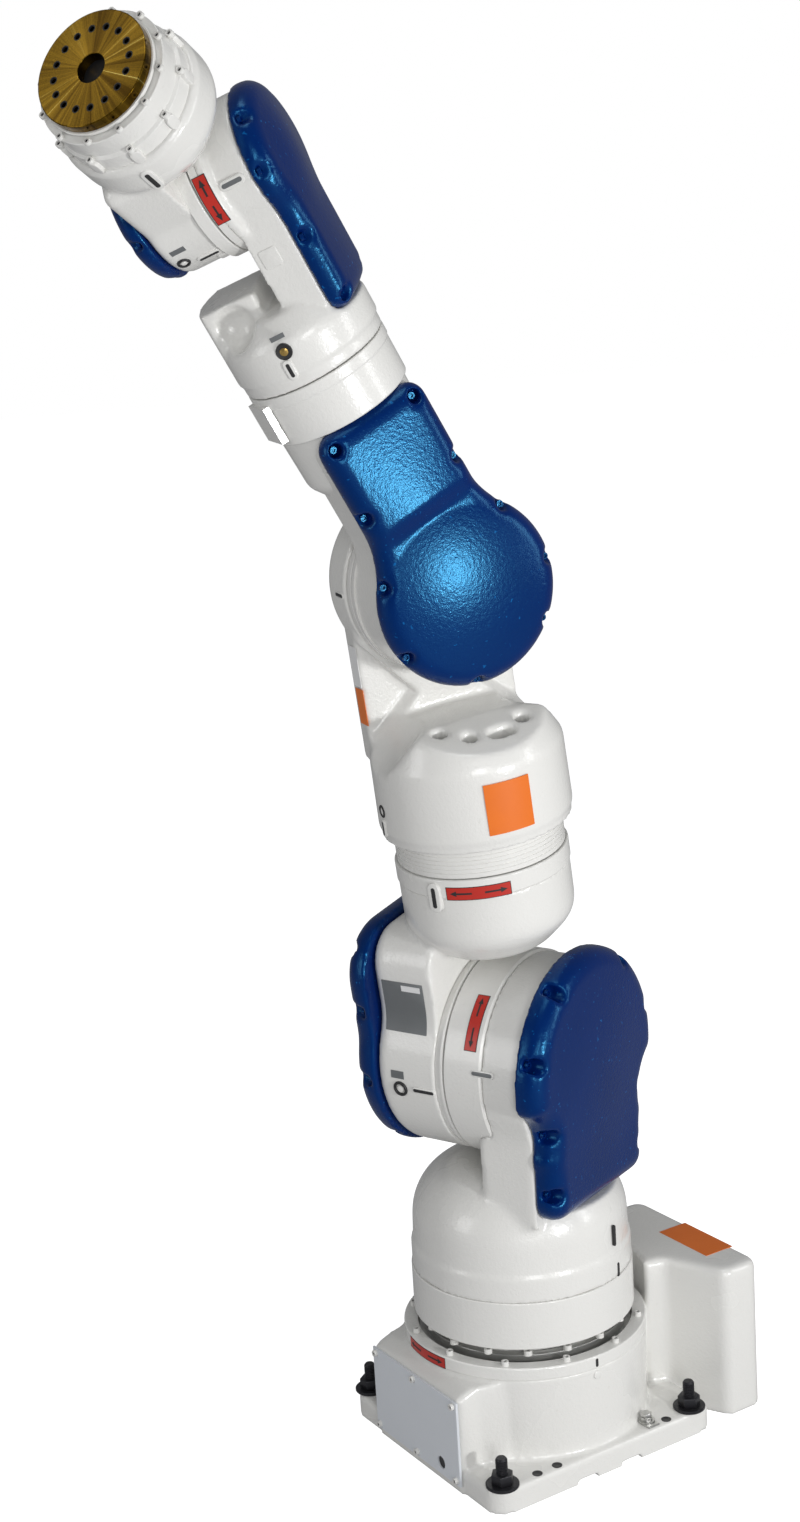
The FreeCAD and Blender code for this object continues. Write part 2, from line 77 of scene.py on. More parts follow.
# ---------------------------------------------------------------- link frames
def link_frame(origin, pivot, length):
    """4x4 matrix of a link: Y along its pivot, Z along its length, standing at origin."""
    y = Vector(JOINTS[pivot]["axis"]).normalized()
    z = Vector(JOINTS[length]["axis"]).normalized()
    x = y.cross(z).normalized()
    z = x.cross(y)
    m = Matrix((x, y, z)).transposed().to_4x4()
    m.translation = Vector(JOINTS[origin]["pos_m"])
    return m


LINKS = {
    "base": Matrix(),
    "swivel": link_frame("swivel_turn", "shoulder_pivot", "swivel_turn"),
    "lower_arm": link_frame("shoulder_pivot", "shoulder_pivot", "arm_roll"),
    "elbow": link_frame("arm_roll", "elbow_pivot", "arm_roll"),
    "forearm": link_frame("elbow_pivot", "elbow_pivot", "forearm_roll"),
    "wrist_roll": link_frame("forearm_roll", "wrist_pivot", "forearm_roll"),
    "wrist_bend": link_frame("wrist_pivot", "wrist_pivot", "tool_roll"),
    "tool": link_frame("wrist_pivot", "wrist_pivot", "tool_roll"),
}


def to_link(link):
    """4x4 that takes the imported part's metres to the link's millimetres."""
    return (LINKS[link] @ Matrix.Scale(MM, 4)).inverted()


# ---------------------------------------------------------------- shader groups
def new_group(name, inputs, outputs):
    """Empty shader group with sockets given as {name: (type, default)} and {name: type}."""
    tree = bpy.data.node_groups.new(name, "ShaderNodeTree")
    for label, (kind, value) in inputs.items():
        socket = tree.interface.new_socket(label, in_out="INPUT", socket_type=kind)
        socket.default_value = value
    for label, kind in outputs.items():
        tree.interface.new_socket(label, in_out="OUTPUT", socket_type=kind)
    return tree, tree.nodes.new("NodeGroupInput"), tree.nodes.new("NodeGroupOutput")


def orange_peel_group():
    """Sprayed enamel: a bumpy skin of two sizes of grain, as a normal."""
    tree, given, out = new_group(
        "orange_peel",
        {"Scale": ("NodeSocketFloat", 400.0), "Depth": ("NodeSocketFloat", 0.0003),
         "Fine": ("NodeSocketFloat", 0.3)},
        {"Normal": "NodeSocketVector"})
    link = tree.links.new
    place = tree.nodes.new("ShaderNodeTexCoord")
    coarse = tree.nodes.new("ShaderNodeTexNoise")
    coarse.inputs["Detail"].default_value = 1.5
    coarse.inputs["Roughness"].default_value = 0.45
    finer = tree.nodes.new("ShaderNodeMath")
    finer.operation = "MULTIPLY"
    finer.inputs[1].default_value = 2.7
    fine = tree.nodes.new("ShaderNodeTexNoise")
    fine.inputs["Detail"].default_value = 1.0
    mix = tree.nodes.new("ShaderNodeMix")
    bump = tree.nodes.new("ShaderNodeBump")
    bump.inputs["Strength"].default_value = 1.0
    link(place.outputs["Object"], coarse.inputs["Vector"])
    link(place.outputs["Object"], fine.inputs["Vector"])
    link(given.outputs["Scale"], coarse.inputs["Scale"])
    link(given.outputs["Scale"], finer.inputs[0])
    link(finer.outputs[0], fine.inputs["Scale"])
    link(given.outputs["Fine"], mix.inputs["Factor"])
    link(coarse.outputs["Fac"], mix.inputs["A"])
    link(fine.outputs["Fac"], mix.inputs["B"])
    link(mix.outputs["Result"], bump.inputs["Height"])
    link(given.outputs["Depth"], bump.inputs["Distance"])
    link(bump.outputs["Normal"], out.inputs["Normal"])
    return tree


def mottle_group():
    """Slow drift between two near shades, with fine specks, as a colour and a mask."""
    tree, given, out = new_group(
        "mottle",
        {"Shade A": ("NodeSocketColor", (0.8, 0.8, 0.8, 1)),
         "Shade B": ("NodeSocketColor", (0.7, 0.7, 0.7, 1)),
         "Speck": ("NodeSocketColor", (0.4, 0.4, 0.4, 1)),
         "Scale": ("NodeSocketFloat", 12.0), "Specks": ("NodeSocketFloat", 0.2)},
        {"Color": "NodeSocketColor", "Mask": "NodeSocketFloat"})
    link = tree.links.new
    place = tree.nodes.new("ShaderNodeTexCoord")
    drift = tree.nodes.new("ShaderNodeTexNoise")
    drift.inputs["Detail"].default_value = 3.0
    base = tree.nodes.new("ShaderNodeMix")
    base.data_type = "RGBA"
    grit = tree.nodes.new("ShaderNodeTexNoise")
    grit.inputs["Scale"].default_value = 240.0
    grit.inputs["Detail"].default_value = 2.0
    ramp = tree.nodes.new("ShaderNodeValToRGB")
    ramp.color_ramp.elements[0].position = 0.68
    ramp.color_ramp.elements[1].position = 0.76
    amount = tree.nodes.new("ShaderNodeMath")
    amount.operation = "MULTIPLY"
    spotted = tree.nodes.new("ShaderNodeMix")
    spotted.data_type = "RGBA"
    link(place.outputs["Object"], drift.inputs["Vector"])
    link(place.outputs["Object"], grit.inputs["Vector"])
    link(given.outputs["Scale"], drift.inputs["Scale"])
    link(drift.outputs["Fac"], base.inputs["Factor"])
    link(given.outputs["Shade A"], base.inputs["A"])
    link(given.outputs["Shade B"], base.inputs["B"])
    link(grit.outputs["Fac"], ramp.inputs["Fac"])
    link(ramp.outputs["Color"], amount.inputs[0])
    link(given.outputs["Specks"], amount.inputs[1])
    link(amount.outputs[0], spotted.inputs["Factor"])
    link(base.outputs["Result"], spotted.inputs["A"])
    link(given.outputs["Speck"], spotted.inputs["B"])
    link(spotted.outputs["Result"], out.inputs["Color"])
    link(drift.outputs["Fac"], out.inputs["Mask"])
    return tree


PEEL = orange_peel_group()
MOTTLE = mottle_group()


# ---------------------------------------------------------------- finishes
def finish(name, shades, speck=(0.3, 0.3, 0.3), specks=0.0, drift=12.0, peel=(400.0, 0.0002, 0.3),
           rough=(0.35, 0.45), metal=0.0, coat=0.0, coat_rough=0.1, specular=0.5,
           specular_tint=(1, 1, 1)):
    """Material from two near shades and a sprayed or cast skin."""
    mat = bpy.data.materials.new(name)
    mat.use_nodes = True
    tree = mat.node_tree
    shader = tree.nodes["Principled BSDF"]
    shader.inputs["Metallic"].default_value = metal
    shader.inputs["Coat Weight"].default_value = coat
    shader.inputs["Coat Roughness"].default_value = coat_rough
    shader.inputs["Specular IOR Level"].default_value = specular
    shader.inputs["Specular Tint"].default_value = (*specular_tint, 1)
    tone = tree.nodes.new("ShaderNodeGroup")
    tone.node_tree = MOTTLE
    tone.inputs["Shade A"].default_value = (*shades[0], 1)
    tone.inputs["Shade B"].default_value = (*shades[1], 1)
    tone.inputs["Speck"].default_value = (*speck, 1)
    tone.inputs["Specks"].default_value = specks
    tone.inputs["Scale"].default_value = drift
    skin = tree.nodes.new("ShaderNodeGroup")
    skin.node_tree = PEEL
    skin.inputs["Scale"].default_value = peel[0]
    skin.inputs["Depth"].default_value = peel[1]
    skin.inputs["Fine"].default_value = peel[2]
    span = tree.nodes.new("ShaderNodeMapRange")
    span.inputs["To Min"].default_value = rough[0]
    span.inputs["To Max"].default_value = rough[1]
    tree.links.new(tone.outputs["Color"], shader.inputs["Base Color"])
    tree.links.new(tone.outputs["Mask"], span.inputs["Value"])
    tree.links.new(span.outputs["Result"], shader.inputs["Roughness"])
    tree.links.new(skin.outputs["Normal"], shader.inputs["Normal"])
    return mat


CREAM = finish("cream_enamel", ((0.785, 0.78, 0.755), (0.77, 0.765, 0.735)),
               speck=(0.5, 0.48, 0.42), specks=0.12, drift=9.0, peel=(300.0, 0.0004, 0.35),
               rough=(0.25, 0.29), coat=0.35, coat_rough=0.12)
BLUE = finish("blue_enamel", ((0.0, 0.014, 0.125), (0.0, 0.009, 0.088)),
              speck=(0.005, 0.16, 0.50), specks=0.5, drift=11.0, peel=(260.0, 0.0003, 0.4),
              rough=(0.23, 0.28), specular=0.6, specular_tint=(0.12, 0.60, 1.0))
PANEL = finish("panel_enamel", ((0.71, 0.74, 0.78), (0.68, 0.71, 0.75)), specks=0.05,
               peel=(700.0, 0.0001, 0.5))
TURNED = finish("turned_metal", ((0.50, 0.50, 0.49), (0.40, 0.40, 0.39)), peel=(900.0, 0.00005, 0.5),
                rough=(0.25, 0.4), metal=0.9)
OXIDE = finish("black_oxide", ((0.035, 0.035, 0.04), (0.02, 0.02, 0.024)), drift=60.0,
               peel=(900.0, 0.0001, 0.5), rough=(0.3, 0.45), metal=0.6)
ZINC = finish("zinc_steel", ((0.62, 0.62, 0.60), (0.50, 0.50, 0.49)), drift=50.0,
              peel=(800.0, 0.00005, 0.5), rough=(0.25, 0.4), metal=1.0)
PLATE = finish("grey_anodised", ((0.19, 0.20, 0.205), (0.15, 0.16, 0.165)), drift=30.0,
               peel=(900.0, 0.00005, 0.5), rough=(0.4, 0.55), metal=0.3)
RED = finish("red_vinyl", ((0.55, 0.026, 0.014), (0.47, 0.020, 0.012)), drift=40.0,
             peel=(300.0, 0.00005, 0.5), rough=(0.3, 0.4))
ORANGE = finish("orange_vinyl", ((0.82, 0.18, 0.008), (0.74, 0.15, 0.006)), drift=40.0,
                peel=(300.0, 0.00005, 0.5), rough=(0.3, 0.4))
DARK = finish("dark_plastic", ((0.015, 0.015, 0.017), (0.024, 0.024, 0.024)), peel=(600.0, 0.0001, 0.5),
              rough=(0.45, 0.6))
STICKER = finish("white_vinyl", ((0.82, 0.82, 0.82), (0.78, 0.78, 0.78)), peel=(300.0, 0.00003, 0.5))


def gold_with_painted_streaks():
    """Polished gold-toned metal, turned on a lathe, with painted highlight streaks: bright yellow rays in its
    colour run out from the flange's middle, where the turned face's reflections would be.
    """
    mat = finish("gold_mirror", ((0.40, 0.23, 0.035), (0.30, 0.16, 0.02)), drift=30.0,
                 peel=(600.0, 0.00002, 0.5), rough=(0.10, 0.2), metal=1.0)
    tree = mat.node_tree
    link = tree.links.new
    shader = tree.nodes["Principled BSDF"]
    place = tree.nodes.new("ShaderNodeTexCoord")
    centre = tree.nodes.new("ShaderNodeMapping")
    centre.vector_type = "TEXTURE"
    frame_of_tool = LINKS["tool"]
    centre.inputs["Location"].default_value = frame_of_tool @ Vector((0, 0, FLANGE_UP * MM))
    centre.inputs["Rotation"].default_value = frame_of_tool.to_euler()
    turn = tree.nodes.new("ShaderNodeTexGradient")
    turn.gradient_type = "RADIAL"
    painted_glint_rays = tree.nodes.new("ShaderNodeTexNoise")
    painted_glint_rays.noise_dimensions = "1D"
    painted_glint_rays.inputs["Scale"].default_value = 6.0
    painted_glint_rays.inputs["Detail"].default_value = 7.0
    painted_glint_rays.inputs["Roughness"].default_value = 0.8
    # Painted reflection: by angle round the flange, the ramp paints dark olive between bright yellow highlight
    # streaks.
    ramp = tree.nodes.new("ShaderNodeValToRGB")
    stops = ramp.color_ramp.elements
    stops[0].position, stops[0].color = 0.40, (0.07, 0.036, 0.003, 1)
    stops[1].position, stops[1].color = 0.70, (1.0, 0.90, 0.35, 1)
    middle = stops.new(0.60)
    middle.color = (0.24, 0.14, 0.014, 1)
    link(place.outputs["Object"], centre.inputs["Vector"])
    link(centre.outputs["Vector"], turn.inputs["Vector"])
    link(turn.outputs["Fac"], painted_glint_rays.inputs["W"])
    link(painted_glint_rays.outputs["Fac"], ramp.inputs["Fac"])
    link(ramp.outputs["Color"], shader.inputs["Base Color"])
    return mat


GOLD = gold_with_painted_streaks()
BRASS = finish("brass_plug", ((0.62, 0.42, 0.14), (0.50, 0.33, 0.10)), drift=60.0, rough=(0.2, 0.35),
               metal=1.0)


def floor_finish():
    """Pale matt floor, light out to the horizon, that throws only a part of its light back on the arm."""
    mat = finish("pale_floor", ((0.90, 0.90, 0.90), (0.88, 0.88, 0.88)), drift=2.0, peel=(60.0, 0.00002, 0.5),
                 rough=(0.6, 0.7), specular=0.0)
    glow_thrown, glow_seen = 0.10, 0.85
    shade_thrown = (0.45, 0.45, 0.46, 1)
    tree = mat.node_tree
    shader = tree.nodes["Principled BSDF"]
    shader.inputs["Emission Color"].default_value = (1, 1, 1, 1)
    seen = tree.nodes.new("ShaderNodeLightPath")
    glow = tree.nodes.new("ShaderNodeMapRange")
    glow.inputs["To Min"].default_value = glow_thrown
    glow.inputs["To Max"].default_value = glow_seen
    tone = shader.inputs["Base Color"].links[0].from_socket
    shade = tree.nodes.new("ShaderNodeMix")
    shade.data_type = "RGBA"
    shade.inputs["A"].default_value = shade_thrown
    tree.links.new(seen.outputs["Is Camera Ray"], shade.inputs["Factor"])
    tree.links.new(tone, shade.inputs["B"])
    tree.links.new(shade.outputs["Result"], shader.inputs["Base Color"])
    tree.links.new(seen.outputs["Is Camera Ray"], glow.inputs["Value"])
    tree.links.new(glow.outputs["Result"], shader.inputs["Emission Strength"])
    return mat


FLOOR = floor_finish()

SLOT_FINISH = {"cream_enamel": CREAM, "blue_enamel": BLUE, "panel_enamel": PANEL, "machined_ring": TURNED,
               "gold_flange": GOLD, "plate_metal": PLATE, "zinc_steel": ZINC, "black_plastic": DARK}


def paint_cad():
    """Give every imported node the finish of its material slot."""
    slots = {s["node"]: s["material_slot"] for s in frame["record"]["subparts"]}
    for name, obj in frame["nodes"].items():
        obj.data.materials.clear()
        obj.data.materials.append(SLOT_FINISH[slots[name]])


# ---------------------------------------------------------------- making pieces
def new_piece(name, bm, link, finish_mat, sharp=35.0):
    """Turn a bmesh in a link's millimetres into a finished piece that rides on that link's body."""
    bmesh.ops.recalc_face_normals(bm, faces=bm.faces)
    mesh = bpy.data.meshes.new(name)
    bm.to_mesh(mesh)
    bm.free()
    mesh.transform(LINKS[link] @ Matrix.Scale(MM, 4))
    mesh.shade_smooth()
    mesh.set_sharp_from_angle(angle=math.radians(sharp))
    mesh.materials.append(finish_mat)
    obj = bpy.data.objects.new(name, mesh)
    bpy.context.scene.collection.objects.link(obj)
    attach(obj, link)
    return obj


def spot_z(angle, level, radius):
    """Place on a wall turned about Z: X runs round, Y up the axis, Z straight out."""
    a = math.radians(angle)
    out = Vector((math.cos(a), math.sin(a), 0))
    return seat_matrix(out, Vector((0, 0, 1)), out * radius + Vector((0, 0, level)))


def spot_y(angle, level, radius, centre=0.0):
    """Place on a drum turned about Y at height centre: X runs round, Y along the pivot, Z straight out."""
    a = math.radians(angle)
    out = Vector((math.cos(a), 0, math.sin(a)))
    return seat_matrix(out, Vector((0, 1, 0)), out * radius + Vector((0, level, centre)))


def seat_matrix(out, up, place):
    """4x4 with Z along out and Y along up."""
    side = up.cross(out).normalized()
    m = Matrix((side, up, out)).transposed().to_4x4()
    m.translation = place
    return m


def outward_x(x, y, z, lean=0.0):
    """Place on a wall that faces +X, turned a little towards +Y by lean."""
    return seat_matrix(Vector((1, lean, 0)).normalized(), Vector((0, 0, 1)), Vector((x, y, z)))


def top_face(verts):
    """Highest of the new verts' faces that look up, and the largest one at that height."""
    faces = {f for v in verts for f in v.link_faces if f.normal.z > 0.9}
    return max(faces, key=lambda f: (round(f.calc_center_median().z, 4), f.calc_area()))


def add_screw(bm, place, radius=3.5, height=4.0, sides=14):
    """Socket head screw standing on place, with a slightly tapered head and a sunk socket."""
    made = bmesh.ops.create_cone(bm, cap_ends=True, segments=sides, radius1=radius, radius2=radius * 0.94,
                                 depth=height)["verts"]
    bmesh.ops.translate(bm, verts=made, vec=(0, 0, height / 2))
    bm.normal_update()
    top = top_face(made)
    inner = bmesh.ops.inset_individual(bm, faces=[top], thickness=radius * 0.42)["faces"]
    sunk = bmesh.ops.extrude_face_region(bm, geom=[top])["geom"]
    floor_verts = [g for g in sunk if isinstance(g, bmesh.types.BMVert)]
    bmesh.ops.translate(bm, verts=floor_verts, vec=(0, 0, -height * 0.5))
    bmesh.ops.delete(bm, geom=[top], context="FACES_ONLY")
    everything = set(made) | set(floor_verts) | {v for f in inner for v in f.verts}
    bmesh.ops.transform(bm, matrix=place, verts=list(everything))


def screws(name, link, places, radius, height, finish_mat=None, socket=True):
    """Socket head screws at a list of places, with painted shade in each socket: a dark hex sunk at its
    bottom, as a piece of its own.
    """
    heads, socket_shade = bmesh.new(), bmesh.new()
    for place in places:
        add_screw(heads, place, radius, height)
        # Painted shade: a dark hex at the bottom of each socket.
        add_prism(socket_shade, place @ Matrix.Translation((0, 0, height * 0.45)), 6, radius * 0.52, height * 0.2)
    new_piece(name, heads, link, finish_mat or CREAM)
    if socket:
        new_piece(name + "_sockets", socket_shade, link, DARK)
    else:
        socket_shade.free()


def add_prism(bm, place, sides, radius, height, bevel=0.0, turn=0.0):
    """Upright prism standing on place, its top and bottom edges softened by bevel."""
    m = place @ Matrix.Rotation(math.radians(turn), 4, "Z") @ Matrix.Translation((0, 0, height / 2))
    made = bmesh.ops.create_cone(bm, cap_ends=True, segments=sides, radius1=radius, radius2=radius,
                                 depth=height, matrix=m)["verts"]
    if bevel > 0:
        rims = {e for v in made for e in v.link_edges if any(len(f.verts) > 4 for f in e.link_faces)}
        bmesh.ops.bevel(bm, geom=list(rims), offset=bevel, segments=2, profile=0.5, affect="EDGES",
                        material=-1)


def add_turned(bm, place, profile, steps=32):
    """Piece turned about place's Z from (radius, height) points."""
    verts = [bm.verts.new((r, 0, z)) for r, z in profile]
    edges = [bm.edges.new(pair) for pair in zip(verts, verts[1:])]
    made = bmesh.ops.spin(bm, geom=verts + edges, cent=(0, 0, 0), axis=(0, 0, 1), angle=math.tau, steps=steps,
                          use_merge=True)["geom_last"]
    loose = set(verts) | {g for g in made if isinstance(g, bmesh.types.BMVert)}
    shell = connected(loose)
    bmesh.ops.remove_doubles(bm, verts=list(shell), dist=0.0005)
    shell = connected({v for v in shell if v.is_valid})
    bmesh.ops.transform(bm, matrix=place, verts=list(shell))


def connected(seed):
    """Every vertex joined to the seed by edges."""
    found = set(seed)
    front = list(seed)
    while front:
        for edge in front.pop().link_edges:
            for vert in edge.verts:
                if vert not in found:
                    found.add(vert)
                    front.append(vert)
    return found


def add_lozenge(bm, place, length, width, height, sides=10, edge=0.6):
    """Raised bar with round ends, its length along Y, standing on place."""
    made = bmesh.ops.create_circle(bm, cap_ends=True, segments=4 * sides, radius=width / 2)["verts"]
    stretch = (length - width) / 2
    for vert in made:
        if abs(vert.co.y) > 1e-5:
            vert.co.y += math.copysign(stretch, vert.co.y)
    face = made[0].link_faces[0]
    grown = bmesh.ops.extrude_face_region(bm, geom=[face])["geom"]
    lifted = [g for g in grown if isinstance(g, bmesh.types.BMVert)]
    bmesh.ops.translate(bm, verts=lifted, vec=(0, 0, height))
    top = next(g for g in grown if isinstance(g, bmesh.types.BMFace))
    whole = set(made) | set(lifted)
    rim = bmesh.ops.bevel(bm, geom=list(top.edges), offset=edge, segments=3, profile=0.5, affect="EDGES",
                          material=-1)
    whole = {v for v in whole if v.is_valid} | set(rim["verts"])
    bmesh.ops.transform(bm, matrix=place, verts=list(whole))


def add_pad(bm, place, width, height, corner=2.4, edge=0.8):
    """Raised square pad with round corners and a soft top edge, alone in its bmesh."""
    size = Matrix.Diagonal((width, width, height, 1))
    bmesh.ops.create_cube(bm, size=1.0, matrix=Matrix.Translation((0, 0, height / 2)) @ size)
    upright = [e for e in bm.edges if abs(e.verts[0].co.z - e.verts[1].co.z) > height / 2]
    bmesh.ops.bevel(bm, geom=upright, offset=corner, segments=4, profile=0.5, affect="EDGES", material=-1)
    rim = [e for e in bm.edges if min(v.co.z for v in e.verts) > height * 0.99]
    bmesh.ops.bevel(bm, geom=rim, offset=edge, segments=3, profile=0.5, affect="EDGES", material=-1)
    bmesh.ops.transform(bm, matrix=place, verts=bm.verts)


def add_strip(bm, wrap, width, height, thick=0.35, across=0.0, fine=3.0):
    """Thin label width x height, curved by wrap, which maps (x, y, lift) on the wall to the link."""
    cells = max(1, round(width / fine))
    made = bmesh.ops.create_grid(bm, x_segments=cells, y_segments=1, size=0.5)["verts"]
    faces = list({f for v in made for f in v.link_faces})
    grown = bmesh.ops.extrude_face_region(bm, geom=faces)["geom"]
    lifted = {g for g in grown if isinstance(g, bmesh.types.BMVert)}
    for vert in set(made) | lifted:
        lift = thick if vert in lifted else -LABEL_SUNK
        vert.co = wrap(across + vert.co.x * width, vert.co.y * height, lift)


def add_arrow(bm, wrap, tail, tip, weight=1.8, head=6.5, barb=2.8, thick=0.5):
    """Straight arrow from tail to tip along the strip, as a shaft and a pointed head."""
    neck = tip - math.copysign(head, tip - tail)
    add_strip(bm, wrap, abs(neck - tail), weight, thick, (tail + neck) / 2)
    made = bmesh.ops.create_circle(bm, cap_ends=True, segments=3, radius=1.0)["verts"]
    for vert, (x, y) in zip(made, ((tip, 0), (neck, barb), (neck, -barb))):
        vert.co = wrap(x, y, thick)


def strip(name, link, wrap, width, height, finish_mat, slot="plate_metal", **more):
    """Label that is a piece of its own."""
    bm = bmesh.new()
    add_strip(bm, wrap, width, height, **more)
    new_piece(name, bm, link, finish_mat)


def lozenge(name, link, place, length, width, height, finish_mat=None, edge=0.2):
    """Bar with round ends that is a piece of its own."""
    bm = bmesh.new()
    add_lozenge(bm, place, length, width, height, edge=edge)
    new_piece(name, bm, link, finish_mat or DARK)


def turning(name, link, places, profile, finish_mat, steps=32):
    """The same turned shape at each of the places, as one piece."""
    bm = bmesh.new()
    for place in places:
        add_turned(bm, place, profile, steps)
    new_piece(name, bm, link, finish_mat)


def turn_label(name, link, wrap, width, height):
    """Red label with a dark rim and two arrows that point apart, the two ways that a joint turns."""
    strip(name, link, wrap, width, height, RED)
    bm = bmesh.new()
    add_strip(bm, wrap, width + 1.4, height + 1.4, thick=0.2)
    for sign in BOTH_SIDES:
        add_arrow(bm, wrap, sign * width * 0.1, sign * width * 0.45)
    new_piece(name + "_arrows", bm, link, DARK)


def round_z(angle, level, radius):
    """Wrap for add_strip on a wall turned about Z."""
    def wrap(x, y, lift):
        a = math.radians(angle) + x / radius
        return Vector(((radius + lift) * math.cos(a), (radius + lift) * math.sin(a), level + y))
    return wrap


def round_y(angle, level, radius, centre=0.0):
    """Wrap for add_strip on a drum turned about Y, x running down the drum's side."""
    def wrap(x, y, lift):
        a = math.radians(angle) - x / radius
        return Vector(((radius + lift) * math.cos(a), level + y, centre + (radius + lift) * math.sin(a)))
    return wrap


def flat_wall(place):
    """Wrap for add_strip on a flat wall."""
    return lambda x, y, lift: place @ Vector((x, y, lift))


# ---------------------------------------------------------------- castings and covers
def joined_skin(nodes, link, voxel):
    """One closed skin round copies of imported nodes, as a bmesh in the link's millimetres."""
    bm = bmesh.new()
    for node in nodes:
        bm.from_mesh(frame["nodes"][node].data)
    bmesh.ops.remove_doubles(bm, verts=bm.verts, dist=WELD)
    rough = bpy.data.meshes.new("rough")
    bm.to_mesh(rough)
    bm.free()
    shell = bpy.data.objects.new("rough", rough)
    bpy.context.scene.collection.objects.link(shell)
    remesh = shell.modifiers.new("skin", "REMESH")
    remesh.mode = "VOXEL"
    remesh.voxel_size = voxel * MM
    graph = bpy.context.evaluated_depsgraph_get()
    mesh = bpy.data.meshes.new_from_object(shell.evaluated_get(graph))
    bpy.data.objects.remove(shell)
    bm = bmesh.new()
    bm.from_mesh(mesh)
    bpy.data.meshes.remove(mesh)
    bmesh.ops.transform(bm, matrix=to_link(link), verts=bm.verts)
    return bm


def relax(bm, rounds, where=None):
    """Round off the edges of a skin by smoothing, only where the place is picked."""
    picked = [v for v in bm.verts if where is None or where(v.co)]
    for _ in range(rounds):
        bmesh.ops.smooth_vert(bm, verts=picked, factor=0.5, use_axis_x=True, use_axis_y=True, use_axis_z=True)


def cast_skin(name, link, nodes, rounds=8, voxel=2.4, where=None, crisp=None):
    """Enamelled casting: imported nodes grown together, with soft corners, and barely softened where crisp."""
    bm = joined_skin(nodes, link, voxel)
    relax(bm, rounds, where)
    if crisp:
        relax(bm, 3, crisp)
    piece = new_piece(name, bm, link, CREAM, sharp=SKIN_SHARP)
    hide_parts(*nodes)


def on_shelf(p):
    """True on the elbow collar's shelf, whose screw pockets stay crisp."""
    return p.y > 28 and 296 < p.z < 350 and math.hypot(p.x, p.y) < 84


def castings():
    """Castings whose parts flow into one another; the faces at the joints keep their edges."""
    cast_skin("elbow_casting_skin", "elbow", ("elbow_collar", "elbow_casting"), rounds=10, voxel=2.0,
              where=lambda p: p.z > 300 and not (p.y > -30 and p.z > 395) and not on_shelf(p),
              crisp=on_shelf)
    cast_skin("wrist_roll_casting_skin", "wrist_roll", ("wrist_roll_collar", "wrist_roll_casting"),
              rounds=10, voxel=1.8, where=lambda p: p.z > 270 and p.y > 14 or 285 < p.z < 330)
    cast_skin("swivel_casting_skin", "swivel", ("swivel_housing", "shoulder_post"), rounds=12,
              where=lambda p: p.z > 222 and p.y < 72 and not (p.y < 33 and p.z > 318))
    cast_skin("lower_arm_casting_skin", "lower_arm", ("lower_arm_casting",), rounds=12,
              where=lambda p: p.z < 198 and p.y > -92 and not (p.y > -30 and p.z < 110))
    cast_skin("wrist_bend_casting_skin", "wrist_bend", ("wrist_bend_casting", "tool_housing"), voxel=1.8,
              where=lambda p: p.z < 126 and p.y < -12)
    cast_skin("base_casting_skin", "base", ("base_casting",), rounds=7,
              where=lambda p: p.z > 27 and p.x < 136 and not (math.hypot(p.x, p.y) < 128.5 and p.z > 108))


def crowned_cover(node, link, face_level, outward, crown):
    """Cast cover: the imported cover's own form, softened all over and lifted by crown(x, z)."""
    bm = joined_skin((node,), link, 2.2)
    relax(bm, 4)
    for vert in bm.verts:
        depth = (vert.co.y - face_level) * outward
        if depth > 0:
            vert.co.y += outward * crown(vert.co.x, vert.co.z) * min(1.0, depth / 10.0)
    relax(bm, 2)
    piece = new_piece(node + "_skin", bm, link, BLUE, sharp=SKIN_SHARP)
    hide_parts(node)


def bell(distance, reach):
    """Smooth hump: 1 at 0, falling to 0 at reach."""
    t = max(0.0, 1.0 - (distance / reach) ** 2)
    return t * t


def ease(value, low, high):
    """Smooth step from 0 at low to 1 at high."""
    t = min(1.0, max(0.0, (value - low) / (high - low)))
    return t * t * (3 - 2 * t)


def forearm_crown(x, z):
    """Round dome over the elbow, then a shelf that slopes down towards the wrist."""
    dome = max(0.0, 9.0 - 9.0 * (math.hypot(x, z + 4) / 86) ** 2)
    return dome - 2.0 + ease(z, 80, 102) * (7.0 - 0.07 * (z - 100)) * bell(x, 105)


def covers():
    crowned_cover("shoulder_cover", "swivel", 76.0, 1.0,
                  lambda x, z: 5.0 * bell(math.hypot(x, z - SHOULDER_UP - 10.0), 120) - 1.0)
    crowned_cover("lower_arm_cover", "lower_arm", -96.0, -1.0,
                  lambda x, z: 4.0 * bell(math.hypot(x, z), 110) - 1.0)
    crowned_cover("forearm_cover", "forearm", 48.0, 1.0, forearm_crown)
    crowned_cover("wrist_roll_cover", "wrist_roll", 53.0, 1.0,
                  lambda x, z: 5.0 * bell(math.hypot(x, z - WRIST_UP), 62) + 2.0 * bell(x, 50) - 1.0)
    crowned_cover("wrist_bend_cover", "wrist_bend", -60.0, -1.0,
                  lambda x, z: 4.0 * bell(math.hypot(x, z), 60))
    crowned_cover("elbow_cover", "elbow", -92.0, -1.0,
                  lambda x, z: 2.0 * bell(math.hypot(x, z - ELBOW_UP), 66))


def mirrored(spots):
    """The same spots on both sides of the cover."""
    return [(side * x, z) for side in BOTH_SIDES for x, z in spots]


